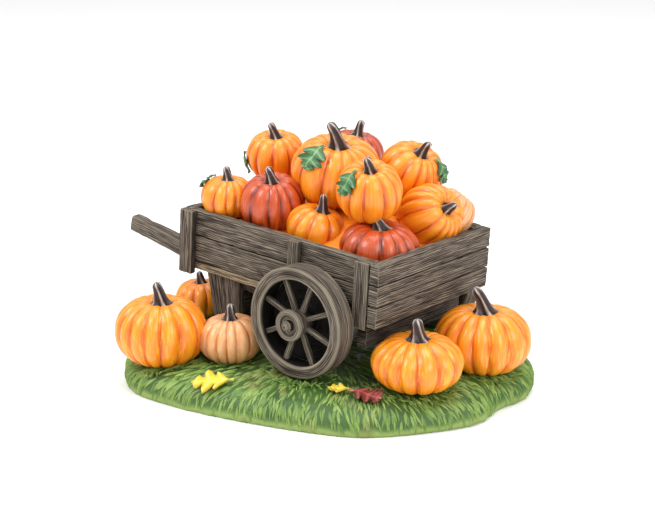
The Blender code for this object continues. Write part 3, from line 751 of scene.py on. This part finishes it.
def make_pumpkin(pumpkin, material):
    """The lobed body."""
    steps, rings = pumpkin.lobes * 14, 54
    angles = np.tile(around(steps), rings)
    polars = np.repeat(np.linspace(0.02, math.pi - 0.02, rings), steps)
    points = pumpkin.surface(angles, polars)
    rib = pumpkin.rib(angles) ** 0.75
    rib = 1 - (1 - rib) * np.sin(polars) ** 0.3
    across = pumpkin.radius / MM
    skin = np.stack([angles * across, polars * across, np.full(len(angles), pumpkin.seed * 3.3)], -1)
    faces = [face[::-1] for face in ring_faces(rings, steps)]
    points = transform(points, pumpkin.matrix)
    piece = new_piece(pumpkin.node + "_lobed", points, faces, material, rib=rib, skin=skin)
    adopt(piece, "root", SKIN_SLOTS[material], pumpkin.node)


def make_stem(pumpkin, height, bend, heading):
    """A ridged stem that flares at its foot and bends over."""
    steps, rings = 40, 22
    thick = 0.10 * pumpkin.radius + 0.42 * MM
    base = 0.60 * pumpkin.half
    span = np.linspace(0, 1, rings)
    length = height * MM + 0.16 * pumpkin.half
    lean = bend * MM * span ** 2.2
    heading = math.radians(heading)
    centre = np.stack([lean * math.cos(heading), lean * math.sin(heading),
                       base + length * (span - 0.10 * abs(bend) / height * span ** 3)], -1)
    foot = np.exp(-np.clip(span - 0.17, 0, 1) / 0.11)
    width = thick * (1.0 + 1.15 * foot - 0.24 * smoothstep(0.3, 0.9, span))
    width *= np.sqrt(1 - 0.93 * np.clip((span - 0.84) / 0.16, 0, 1) ** 2)
    ring, turn = np.repeat(np.arange(rings), steps), np.tile(around(steps), rings)
    crest = 0.5 + 0.5 * np.cos(STEM_RIDGES * (turn + 0.8 * span[ring]) + pumpkin.seed)
    reach = width[ring] * (0.80 + 0.30 * crest + (crest - 0.5) * 0.55 * foot[ring])
    tangent = unit(np.gradient(centre, axis=0))
    side = unit(np.cross(tangent, (0, 1, 0)))
    other = np.cross(tangent, side)
    out = side[ring] * np.cos(turn)[:, None] + other[ring] * np.sin(turn)[:, None]
    points = centre[ring] + out * reach[:, None]
    points += out * (0.07 * MM * layered_noise(points / (0.5 * MM) + pumpkin.seed))[:, None]
    bright = np.clip(0.15 + 0.80 * crest ** 3 + 0.45 * smoothstep(0.74, 1.0, span[ring]), 0, 1.3)
    grain = np.stack([turn * 2, span[ring] * length / MM, np.full(len(turn), pumpkin.seed)], -1)
    piece = new_piece(pumpkin.node + "_stem", transform(points, pumpkin.matrix),
                      ring_faces(rings, steps), STEM, carve=bright, grain=grain)
    adopt(piece, "root", "stem")


def leaf_grid(length, width, teeth):
    """A lobed leaf's flat grid: shares along and across it, the same as lengths, veins and quads."""
    rows, columns = 48, 19
    s = np.repeat(np.linspace(0, 1, rows), columns)
    q = np.tile(np.linspace(-1, 1, columns), rows)
    envelope = np.sin(math.pi * np.clip((s - 0.10) / 0.90, 0, 1) ** 0.85) ** 0.7
    lobe = np.abs(np.sin(teeth * math.pi * (s - 0.10) / 0.90)) ** 0.7
    notch = 0.06 * np.abs(np.sin(3 * teeth * math.pi * s))
    half = np.maximum(width / 2 * envelope * (0.34 + 0.66 * lobe - notch), 0.28 * MM * (1 - s) + 0.05 * MM)
    across = q * half
    along = s * length + 0.42 * np.abs(across) * (1 - 0.5 * s)
    slant = (s - 0.10) / 0.90 * teeth - 0.25 * np.abs(q)
    side_vein = np.exp(-((slant - np.floor(slant) - 0.5) / 0.10) ** 2)
    midrib = np.exp(-(across / (0.14 * MM)) ** 2)
    vein = np.clip(midrib + 0.7 * side_vein, 0, 1)
    quads = [[r * columns + c, r * columns + c + 1, (r + 1) * columns + c + 1, (r + 1) * columns + c]
             for r in range(rows - 1) for c in range(columns - 1)]
    return s, q, along, across, vein, quads


def leaf_piece(name, points, material, grid, seed, thickness, offset):
    """A leaf of some thickness from its grid's moved points. Its shade darkens towards the rim."""
    _, q, along, across, vein, quads = grid
    grain = np.stack([along / MM, across / MM, np.full(len(q), float(seed))], -1)
    piece = new_piece(name, points, quads, material, vein=vein, carve=1 - 0.7 * np.abs(q), grain=grain)
    solid = piece.modifiers.new("thickness", "SOLIDIFY")
    solid.thickness = thickness
    solid.offset = offset
    adopt(piece, "root", "leaf")


def make_leaf(name, pumpkin, angle, polar, heading, length, width, teeth):
    """A leaf that lies on a pumpkin and curls away at its rim."""
    grid = leaf_grid(length * MM, width * MM, teeth)
    s, q, along, across, vein, _ = grid
    a, p = math.radians(angle), math.radians(polar)
    start = pumpkin.surface(np.array([a]), np.array([p]))[0]
    east = np.array([-math.sin(a), math.cos(a), 0])
    south = np.array([math.cos(p) * math.cos(a), math.cos(p) * math.sin(a), -math.sin(p)])
    turn = math.radians(heading)
    forward = math.cos(turn) * south + math.sin(turn) * east
    left = -math.sin(turn) * south + math.cos(turn) * east
    flat = start + along[:, None] * forward + across[:, None] * left
    angles = np.arctan2(flat[:, 1], flat[:, 0])
    polars = np.arctan2(np.hypot(flat[:, 0], flat[:, 1]) / pumpkin.radius, flat[:, 2] / pumpkin.half)
    lift = (0.45 + 0.25 * q ** 2 + 0.35 * s ** 3 + 0.20 * np.sin(11 * s + 3 * q) - 0.18 * vein) * MM
    lift += 0.05 * pumpkin.radius * (1 - pumpkin.rib(angles))
    points = pumpkin.surface(angles, np.clip(polars, 0.15, 3.0), lift)
    leaf_piece(name, transform(points, pumpkin.matrix), LEAF, grid, angle % 17, LEAF_THICKNESS, 0)


# Heaped pumpkins: word, radius, half-height, lean and its heading, lobes, skin, and the stem's
# height, bend and the bend's heading. Sizes in mm, angles in degrees.
HEAP = [
    ("red_front", 9.8, 6.2, 3, 310, 12, RED, 4.0, -2.4, 40),
    ("small_front", 7.6, 5.8, 14, 30, 11, ORANGE, 4.9, -0.8, 30),
    ("red_left", 8.2, 7.5, 12, 300, 11, RED, 4.6, -1.2, 40),
    ("tipped", 8.4, 8.0, 58, 354, 14, ORANGE, 3.2, 0.9, 90),
    ("small_left", 7.0, 5.6, 0, 0, 12, ORANGE, 3.9, -0.8, 40),
    ("mid_front", 8.1, 7.7, 18, 300, 12, ORANGE, 4.2, -0.9, 40),
    ("large_top", 11.5, 9.1, 12, 320, 14, ORANGE, 7.0, -2.9, 40),
    ("mid_right", 8.6, 7.3, 28, 0, 13, ORANGE, 4.8, 0.7, 0),
    ("peach_right", 6.4, 6.0, 35, 50, 11, PEACH, 0, 0, 0),
    ("top_left", 7.7, 6.6, 10, 290, 12, ORANGE, 4.4, -1.4, 40),
    ("red_back", 7.9, 6.8, 8, 40, 11, RED, 4.6, 0.3, 40),
    ("back_left", 7.8, 6.6, 14, 130, 12, ORANGE, 3.6, 0.8, 200),
    ("back_middle", 7.4, 6.2, 10, 100, 12, ORANGE, 0, 0, 0),
    ("back_right", 6.4, 5.8, 0, 0, 11, PEACH, 0, 0, 0),
    ("under_left", 7.6, 6.0, 10, 180, 12, ORANGE, 0, 0, 0),
]
# Pumpkins on the grass, upright: the same without lean and heading.
GROUND = [
    ("ground_peach", 8.2, 6.2, 13, PEACH, 4.4, 0.2, 40),
    ("ground_left", 11.7, 9.0, 16, STREAKED, 6.1, -1.2, 40),
    ("ground_front", 11.5, 6.9, 15, STREAKED, 5.7, -0.4, 40),
    ("ground_right", 12.1, 8.6, 16, STREAKED, 7.2, -2.6, 40),
    ("ground_back", 6.9, 5.4, 12, ORANGE, 3.6, -0.4, 40),
]


# The CAD pumpkins' body: the latitudes of its rings, its lobes and their depth
CAD_LATITUDES = (-58, -28, 0, 26, 50, 70)
CAD_LOBES = 10
CAD_LOBE_DEPTH = 0.07


def cad_pumpkin(radius, half_height):
    """Where the points of a CAD pumpkin's body lie round its middle."""
    points = []
    for latitude in CAD_LATITUDES:
        up = math.radians(latitude)
        for i in range(2 * CAD_LOBES):
            turn = math.pi * i / CAD_LOBES
            reach = radius * math.cos(up) ** 0.8 * (1 - CAD_LOBE_DEPTH * (i % 2))
            points.append((reach * math.cos(turn), reach * math.sin(turn), half_height * math.sin(up)))
    return np.array(points)


def pumpkin_middle(pumpkin):
    """The middle of a pumpkin: the place that most of its CAD solid's uncut points agree on."""
    template = transform(cad_pumpkin(pumpkin.radius, pumpkin.half), pumpkin.matrix.to_3x3().to_4x4())
    votes = (node_points(pumpkin.node)[:, None] - template[None]).reshape(-1, 3)
    bins, counts = np.unique(np.round(votes / (0.1 * MM)), axis=0, return_counts=True)
    best = bins[counts.argmax()] * 0.1 * MM
    near = np.linalg.norm(votes - best, axis=1) < 0.15 * MM
    return Vector(votes[near].mean(0))


def make_pumpkins():
    """Every pumpkin with its stem. Returns them by their words."""
    rows = [(row, CART) for row in HEAP]
    rows += [((*row[:3], 0, 0, *row[3:]), UPRIGHT) for row in GROUND]
    made = {}
    for row, frame_matrix in rows:
        word, radius, half_height, lean, heading, lobes, skin, height, bend, bend_heading = row
        pumpkin = Pumpkin("pumpkin_" + word, radius, half_height, lean, heading, lobes, frame_matrix)
        pumpkin.matrix.translation = pumpkin_middle(pumpkin)
        make_pumpkin(pumpkin, skin)
        if height:
            make_stem(pumpkin, height, bend, bend_heading)
        made[word] = pumpkin
    return made


def make_leaves(pumpkins):
    """The leaves that lie on the pumpkins: the pumpkin's word, the place's angle and polar angle on
    it, heading, length, width and teeth."""
    rows = [
        ("large_top", 262, 12, 2, 11.5, 9.6, 3),
        ("mid_front", 250, 14, 4, 12.0, 8.6, 3),
        ("mid_right", 18, 14, 2, 10.4, 7.2, 3),
        ("small_left", 212, 16, -14, 8.6, 7.0, 3),
        ("top_left", 214, 82, 40, 7.0, 4.2, 2),
        ("back_left", 120, 16, 0, 8.6, 7.0, 3),
        ("red_back", 200, 16, -10, 7.0, 6.2, 3),
    ]
    for word, *place in rows:
        make_leaf("leaf_" + word, pumpkins[word], *place)


# ------------ grass mound and filler

def remeshed(node, voxel):
    """A CAD node's solid as an even mesh: its points, faces and normals."""
    copy = add_object(node + "_even", frame["nodes"][node].data.copy())
    remesh = copy.modifiers.new("remesh", "REMESH")
    remesh.mode = "VOXEL"
    remesh.voxel_size = voxel
    bpy.context.view_layer.update()
    mesh = copy.evaluated_get(bpy.context.evaluated_depsgraph_get()).to_mesh()
    points = np.array([v.co for v in mesh.vertices])
    normals = np.array([v.normal for v in mesh.vertices])
    faces = [list(p.vertices) for p in mesh.polygons]
    bpy.data.objects.remove(copy)
    return points, faces, normals


def make_mound():
    """The mound under the grass. Returns its points, faces and normals, for the blades to grow from."""
    points, faces, normals = remeshed("grass_base", 0.8 * MM)
    rough = layered_noise(points / (1.6 * MM)) + 0.6 * smooth_noise(points / (5 * MM))
    share = smoothstep(0.2 * MM, 1.2 * MM, points[:, 2])
    points -= normals * (share * MM * np.clip(0.30 + 0.16 * rough, 0.05, 0.7))[:, None]
    band = 1 - smoothstep(0.4 * MM, 3.4 * MM, points[:, 2] + 0.8 * MM * rough)
    piece = new_piece("grass_mound", points, faces, MOUND, grain=points / MM,
                      along=0.25 + 0.15 * rough + 1.1 * band,
                      shade=0.3 + 0.25 * smooth_noise(points / (7 * MM)) + 0.5 * band)
    adopt(piece, "root", "grass", "grass_base")
    return points, faces, normals


def blade_points(start, heading, length, width, lift, tree, rise):
    """One blade as a ridge of three points a row, following the ground and rising to its tip."""
    at, direction = Vector(start), Vector(heading)
    points = []
    for row in range(BLADE_ROWS):
        ground, normal, _, _ = tree.find_nearest(at)
        direction = (direction - normal * direction.dot(normal)).normalized()
        side = normal.cross(direction)
        share = row / (BLADE_ROWS - 1)
        half = width / 2 * (0.55 + 0.45 * math.sin(math.pi * min(1, share * 1.2))) * (1 - share ** 3)
        height = lift * math.sin(math.pi * (0.12 + 0.80 * share)) + rise * share ** 1.5
        middle = ground + normal * (height - 0.12 * MM)
        foot = ground + normal * (height - 0.35 * MM if rise else -0.30 * MM)
        points += [foot + side * half, middle, foot - side * half]
        at = ground + direction * (length / (BLADE_ROWS - 1))
    return points


def blade_faces(start):
    """The two sloping sides of a blade's ridge."""
    faces = []
    for row in range(BLADE_ROWS - 1):
        a, b = start + 3 * row, start + 3 * row + 3
        faces += [[a, a + 1, b + 1, b], [a + 1, a + 2, b + 2, b + 1]]
    return faces


def wheel_zones():
    """The lowest and highest Y, and the radius, of each wheel's turning space."""
    zones = []
    for side in SIDES:
        node = side + "_wheel_felloe_ring"
        zones.append((*sorted(ends_across(node)), round_radius(node)))
    return zones


def clear_of_wheels(points, zones, margin):
    """Whether points stay out of both wheels' turning space."""
    for low, high, radius in zones:
        for p in points:
            if low - margin < p.y < high + margin:
                if math.hypot(p.x - AXLE.x, p.z - AXLE.z) < radius + margin:
                    return False
    return True


def make_grass(points, faces, normals):
    """Sculpted blades all over the mound, lying outwards and down over its bank."""
    draw = random.Random(5)
    zones = wheel_zones()
    tree = BVHTree.FromPolygons([Vector(p) for p in points], faces)
    centre = Vector((points[:, 0].mean(), points[:, 1].mean(), 0))
    roots = np.flatnonzero((points[:, 2] > 1.1 * MM) & (normals[:, 2] > -0.35))
    swirl = smooth_noise(points / (9 * MM) + 4.2)
    rows, blades, along, shade = [], [], [], []

    def add_blade(ridge, tone, crest, rim):
        blades.extend(blade_faces(len(rows)))
        rows.extend(ridge)
        along.extend(k // 3 / (BLADE_ROWS - 1) * (crest if k % 3 == 1 else rim) for k in range(len(ridge)))
        shade.extend([tone] * len(ridge))

    for _ in range(BLADE_COUNT):
        root = int(draw.choice(roots))
        start = Vector(points[root])
        out = start - centre
        out.z = 0
        turn = 0.3 * swirl[root] + draw.gauss(0, 0.17)
        out.rotate(Matrix.Rotation(turn, 3, "Z"))
        on_bank = normals[root][2] < 0.8
        heading = out.normalized() + Vector((0, 0, -1.2 if on_bank else 0))
        length = draw.uniform(*BLADE_LENGTHS)
        if on_bank:
            length = min(length, 1.15 * max(start.z, 2.2 * MM))
        width = draw.uniform(*BLADE_WIDTHS)
        lift = draw.uniform(*BLADE_LIFTS)
        ridge = blade_points(start, heading, length, width, lift, tree, 0.0)
        if min(p.z for p in ridge) >= 0.1 * MM and clear_of_wheels(ridge, zones, 0.12 * MM):
            add_blade(ridge, draw.random(), 0.95, 0.20)
    for ridge in grass_tufts(draw, tree):
        if clear_of_wheels(ridge, zones, 0.15 * MM):
            add_blade(ridge, draw.random() * 0.5, 0.8, 0.8)
    grown = np.array(rows)
    piece = new_piece("grass_blades", grown, blades, BLADES, along=along, shade=shade, grain=grown / MM)
    adopt(piece, "root", "grass")


def grass_tufts(draw, tree):
    """Blades that stand up round the wheels, the legs and the pumpkins on the grass."""
    rings = []
    for side in SIDES:
        low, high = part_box(side + "_wheel_felloe_ring")
        rings.append((AXLE.x, (low.y + high.y) / 2, 6.5 * MM, 4.6 * MM, 60))
        low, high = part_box(side + "_leg")
        rings.append((high.x - 3.5 * MM, (low.y + high.y) / 2, 4.4 * MM, 2.0 * MM, 34))
    for word, radius, *_ in GROUND:
        low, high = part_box("pumpkin_" + word)
        reach = 0.66 * radius * MM
        rings.append(((low.x + high.x) / 2, (low.y + high.y) / 2, reach, reach, 70))
    found = []
    for x, y, reach_x, reach_y, count in rings:
        for _ in range(count):
            turn = draw.uniform(0, 2 * math.pi)
            start = Vector((x + reach_x * math.cos(turn), y + reach_y * math.sin(turn), MOUND_TOP))
            ground, normal, _, _ = tree.find_nearest(start)
            if normal.z < 0.75:
                continue
            heading = Vector((math.cos(turn + draw.gauss(0, 0.6)), math.sin(turn + draw.gauss(0, 0.6)), 0))
            found.append(blade_points(ground, heading, draw.uniform(*TUFT_LENGTHS), 0.75 * MM,
                                      0.25 * MM, tree, draw.uniform(*TUFT_RISES)))
    return found


def make_ground_leaves():
    """The fallen leaves on the grass in front of the wheel: name, paint, place, heading, length,
    width and teeth."""
    mound = frame["nodes"]["grass_base"].data
    tree = BVHTree.FromPolygons([v.co for v in mound.vertices], [list(p.vertices) for p in mound.polygons])
    low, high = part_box("near_wheel_felloe_ring")
    rows = [
        ("yellow", YELLOW_LEAF, (low.x + 3.6 * MM, low.y - 10.2 * MM), 212, 10.5, 9.0, 3),
        ("red", RED_LEAF, (high.x + 2.6 * MM, low.y + 1.0 * MM), 12, 8.4, 8.6, 3),
        ("gold", YELLOW_LEAF, (high.x + 2.2 * MM, low.y + 1.4 * MM), 205, 5.4, 5.0, 2),
    ]
    for name, material, at, heading, length, width, teeth in rows:
        grid = leaf_grid(length * MM, width * MM, teeth)
        s, q, along, across, vein, _ = grid
        turn = math.radians(heading)
        x = at[0] + along * math.cos(turn) - across * math.sin(turn)
        y = at[1] + along * math.sin(turn) + across * math.cos(turn)
        ground = np.array([tree.find_nearest(Vector((a, b, MOUND_TOP)))[0].z for a, b in zip(x, y)])
        lift = (0.75 + 0.35 * q ** 2 + 0.25 * np.sin(7 * s + 2 * q) + 0.12 * vein) * MM
        leaf_piece("leaf_fallen_" + name, np.stack([x, y, ground + lift], -1), material, grid, length,
                   FALLEN_LEAF_THICKNESS, -1)


def filler_material():
    """Orange-brown paint between the pumpkins."""
    material, tree, shader = new_material("filler_paint")
    place = attribute(tree, "grain", "Vector")
    lump = noise_value(tree, place, 0.35, 4.0)
    level = weighted(tree, 0.0, (lump, 0.8), (attribute(tree, "carve"), 1.0))
    paint = ramp(tree, level, [(0.30, (0.035, 0.012, 0.006)), (0.55, (0.30, 0.045, 0.004)),
                               (0.75, (0.74, 0.15, 0.006)), (1.0, (0.88, 0.27, 0.010))])
    finish(tree, shader, paint, 0.4, lump, 0.3 * MM, 0.5)
    return material


def make_filler():
    """The mounded bed under the heap."""
    points, faces, normals = remeshed("load_bed", 0.7 * MM)
    rough = layered_noise(points / (2.4 * MM))
    points -= normals * (0.25 * MM * (1 + rough))[:, None]
    low, high = local_box("load_bed", CART)
    within = transform(points, CART.inverted())
    from_side = np.minimum(within - low, high - within)[:, :2].min(1)
    bright = smoothstep(0.7 * MM, 2.2 * MM, from_side + 0.4 * MM * rough)
    piece = new_piece("load_filler", points, faces, filler_material(), grain=points / MM,
                      carve=0.6 * bright)
    adopt(piece, "root", "filler", "load_bed")


def make_axle():
    """The axle keeps its CAD shape, and gets near-black paint, partly painted shade like the shaded wood
    under the cart.
    """
    material, tree, shader = new_material("axle_shaded_paint")
    place = add_node(tree, "TexCoord").outputs["Object"]
    streak = noise_value(tree, stretched(tree, place, (900, 240, 900)), 1.0, 4.0)
    paint = ramp(tree, streak, [(0.35, (0.010, 0.007, 0.005)), (0.6, (0.06, 0.045, 0.035)),
                                (0.75, (0.16, 0.13, 0.10))])
    finish(tree, shader, paint, 0.5, streak, 0.08 * MM, 0.5)
    axle = frame["nodes"]["axle"]
    axle.data.materials.clear()
    axle.data.materials.append(material)


# ------------ stage, light and camera

def make_stage():
    """A plain pale floor."""
    material, tree, shader = new_material("floor_paper")
    place = add_node(tree, "TexCoord").outputs["Object"]
    tooth = noise_value(tree, place, 900.0, 2.0)
    paint = ramp(tree, tooth, [(0.3, (0.90, 0.90, 0.90)), (0.7, (0.93, 0.93, 0.93))])
    tree.links.new(paint, shader.inputs["Base Color"])
    shader.inputs["Roughness"].default_value = 0.9
    shader.inputs["Specular IOR Level"].default_value = 0.1
    half = 6.0
    corners = [(-half, -half, 0), (half, -half, 0), (half, half, 0), (-half, half, 0)]
    floor = new_piece("floor", corners, [[0, 1, 2, 3]], material, smooth=False)


def add_light(name, place, target, size, power):
    """A square soft light that looks at a point."""
    light = bpy.data.lights.new(name, "AREA")
    light.size = size
    light.energy = power
    lamp = add_object(name, light)
    lamp.location = place
    lamp.rotation_euler = (Vector(target) - Vector(place)).to_track_quat("-Z", "Y").to_euler()


def make_light():
    """Soft studio light from above, in front and both sides."""
    world = bpy.data.worlds.new("studio")
    bpy.context.scene.world = world
    world.use_nodes = True
    background = world.node_tree.nodes["Background"]
    background.inputs["Color"].default_value = (1, 1, 1, 1)
    background.inputs["Strength"].default_value = 0.80
    middle = (0, 0, 0.03)
    add_light("key", (-0.25, -0.45, 0.55), middle, 0.30, 2.6)
    add_light("fill", (0.62, -0.10, 0.40), middle, 0.40, 2.2)
    add_light("top", (0.0, 0.10, 0.80), middle, 0.50, 3.0)
    bpy.context.scene.view_settings.view_transform = "Standard"


def make_camera():
    """A long lens at the height and side that show the near wheel and the tail."""
    level = math.cos(CAMERA_ELEVATION)
    back = Vector((math.sin(CAMERA_AZIMUTH) * level, -math.cos(CAMERA_AZIMUTH) * level,
                   math.sin(CAMERA_ELEVATION)))
    data = bpy.data.cameras.new("camera")
    data.sensor_width = CAMERA_SENSOR
    data.lens = CAMERA_LENS
    data.clip_start = 0.01
    camera = add_object("camera", data)
    camera.location = CAMERA_TARGET + back * CAMERA_DISTANCE
    camera.rotation_euler = (-back).to_track_quat("-Z", "Y").to_euler()
    bpy.context.scene.camera = camera


make_camera()
make_boards()
make_shafts()
make_legs()
make_axle()
for wheel_name, wheel_side in SIDES.items():
    make_wheel(wheel_name, wheel_side)
make_leaves(make_pumpkins())
make_filler()
make_grass(*make_mound())
make_ground_leaves()
make_stage()
make_light()
